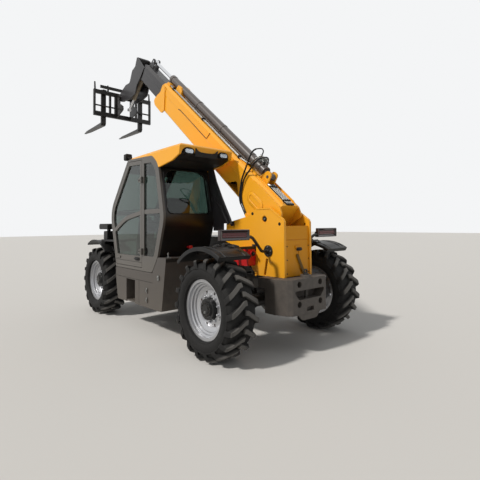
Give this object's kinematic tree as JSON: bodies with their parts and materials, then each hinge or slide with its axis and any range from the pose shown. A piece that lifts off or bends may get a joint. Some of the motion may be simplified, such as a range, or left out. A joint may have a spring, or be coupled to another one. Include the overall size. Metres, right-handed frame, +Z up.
{
  "type": "telehandler",
  "caption": "Telescopic handler with an offset cab, four steered wheels, a raised telescopic boom and a fork carriage on a gooseneck head.",
  "frame": {"origin": "on the ground, under the middle of the whole machine's length and width", "axes": "+X forward, +Y to the left, +Z up"},
  "size_m": [6.354, 2.3, 4.8799],
  "materials": {
    "ballast_grey": "satin",
    "black_plastic": "matte",
    "black_steel": "satin",
    "body_grey": "satin",
    "boom_yellow": "gloss",
    "box_red": "satin",
    "cab_glass": "polished",
    "cast_block": "matte",
    "chrome_rod": "polished",
    "hose_rubber": "matte",
    "inner_grey": "satin",
    "lamp_lens": "gloss",
    "panel_yellow": "gloss",
    "rim_silver": "satin",
    "seat_vinyl": "matte",
    "tyre": "matte",
    "zinc_pipe": "satin"
  },
  "bodies": {
    "root": {"cab_glass": "cab_glass", "cab_roof": "boom_yellow", "cab_shell": "body_grey", "chassis_frame": "black_steel", "counterweight": "ballast_grey", "engine_block": "cast_block", "engine_hood": "body_grey", "exhaust": "black_steel", "front_axle": "black_steel", "front_fenders": "black_plastic", "lamp_arms": "black_steel", "mast": "boom_yellow", "rear_axle": "black_steel", "rear_fenders": "black_plastic", "rear_panel": "panel_yellow", "roof_liner": "black_plastic", "seat": "seat_vinyl", "service_box": "box_red", "side_box": "body_grey", "steering_console": "black_plastic", "tail_lamps": "lamp_lens", "tow_pin": "black_steel", "work_lamps": "black_plastic"},
    "front_left_knuckle": {"front_left_knuckle": "black_steel"},
    "front_left_wheel": {"front_left_rim": "rim_silver", "front_left_tyre": "tyre"},
    "front_right_knuckle": {"front_right_knuckle": "black_steel"},
    "front_right_wheel": {"front_right_rim": "rim_silver", "front_right_tyre": "tyre"},
    "rear_left_knuckle": {"rear_left_knuckle": "black_steel"},
    "rear_left_wheel": {"rear_left_rim": "rim_silver", "rear_left_tyre": "tyre"},
    "rear_right_knuckle": {"rear_right_knuckle": "black_steel"},
    "rear_right_wheel": {"rear_right_rim": "rim_silver", "rear_right_tyre": "tyre"},
    "door": {"door_frame": "body_grey", "door_glass": "cab_glass"},
    "boom": {"boom_outer": "boom_yellow", "tele_barrel": "black_steel", "boom_hoses": "hose_rubber", "boom_pipes": "zinc_pipe", "wear_pads": "black_plastic"},
    "inner_boom": {"boom_inner": "inner_grey", "boom_head": "inner_grey", "tele_rod": "chrome_rod"},
    "lift_barrel": {"lift_barrel": "black_steel"},
    "lift_rod": {"lift_rod": "chrome_rod"},
    "tilt_barrel": {"tilt_barrel": "black_steel"},
    "tilt_rod": {"tilt_rod": "chrome_rod"},
    "fork_carriage": {"carriage": "black_steel", "forks": "black_steel"}
  },
  "joints": [
    {"name": "front_left_steer", "type": "hinge", "parent": "root", "child": "front_left_knuckle", "pos_m": [0.545, 0.69, 0.5559], "axis": [0, 0, 1], "range_deg": [-35, 35]},
    {"name": "front_left_roll", "type": "hinge", "parent": "front_left_knuckle", "child": "front_left_wheel", "pos_m": [0.545, 0.955, 0.5559], "axis": [0, 1, 0], "continuous": true},
    {"name": "front_right_steer", "type": "hinge", "parent": "root", "child": "front_right_knuckle", "pos_m": [0.545, -0.69, 0.5559], "axis": [0, 0, 1], "range_deg": [-35, 35]},
    {"name": "front_right_roll", "type": "hinge", "parent": "front_right_knuckle", "child": "front_right_wheel", "pos_m": [0.545, -0.955, 0.5559], "axis": [0, 1, 0], "continuous": true},
    {"name": "rear_left_steer", "type": "hinge", "parent": "root", "child": "rear_left_knuckle", "pos_m": [-2.589, 0.69, 0.5559], "axis": [0, 0, 1], "range_deg": [-35, 35]},
    {"name": "rear_left_roll", "type": "hinge", "parent": "rear_left_knuckle", "child": "rear_left_wheel", "pos_m": [-2.589, 0.955, 0.5559], "axis": [0, 1, 0], "continuous": true},
    {"name": "rear_right_steer", "type": "hinge", "parent": "root", "child": "rear_right_knuckle", "pos_m": [-2.589, -0.69, 0.5559], "axis": [0, 0, 1], "range_deg": [-35, 35]},
    {"name": "rear_right_roll", "type": "hinge", "parent": "rear_right_knuckle", "child": "rear_right_wheel", "pos_m": [-2.589, -0.955, 0.5559], "axis": [0, 1, 0], "continuous": true},
    {"name": "door_swing", "type": "hinge", "parent": "root", "child": "door", "pos_m": [-1.092, 1.096, 1.1999], "axis": [0, 0, 1], "range_deg": [0, 100]},
    {"name": "boom_lift", "type": "hinge", "parent": "root", "child": "boom", "pos_m": [-2.681, 0, 1.5479], "axis": [0, -1, 0], "range_deg": [-40, 25]},
    {"name": "boom_extend", "type": "slide", "parent": "boom", "child": "inner_boom", "axis": [0.7683, 0, 0.6401], "range_m": [-0.74, 1.9]},
    {"name": "carriage_tilt", "type": "hinge", "parent": "inner_boom", "child": "fork_carriage", "pos_m": [1.811, 0, 4.2459], "axis": [0, -1, 0], "range_deg": [-35, 50]},
    {"name": "lift_swing", "type": "hinge", "parent": "root", "child": "lift_barrel", "pos_m": [-2.289, 0, 0.5999], "axis": [0, -1, 0], "range_deg": [-3.05, 1.92]},
    {"name": "lift_stroke", "type": "slide", "parent": "lift_barrel", "child": "lift_rod", "axis": [0.1001, 0, 0.995], "range_m": [-0.34126, 0.21533]},
    {"name": "tilt_swing", "type": "hinge", "parent": "inner_boom", "child": "tilt_barrel", "pos_m": [1.071, 0, 4.4619], "axis": [0, -1, 0], "range_deg": [-2.71, 3.84]},
    {"name": "tilt_stroke", "type": "slide", "parent": "tilt_barrel", "child": "tilt_rod", "axis": [0.7838, 0, -0.621], "range_m": [-0.16425, 0.23297]}
  ],
  "couplings": [
    {"joint": "front_right_steer", "follows": "front_left_steer", "ratio": 1},
    {"joint": "rear_right_steer", "follows": "rear_left_steer", "ratio": 1},
    {"joint": "lift_swing", "follows": "boom_lift", "ratio": 0.075},
    {"joint": "lift_stroke", "follows": "boom_lift", "m_per_rad": 0.481},
    {"joint": "tilt_swing", "follows": "carriage_tilt", "ratio": 0.0755},
    {"joint": "tilt_stroke", "follows": "carriage_tilt", "m_per_rad": 0.2625}
  ]
}
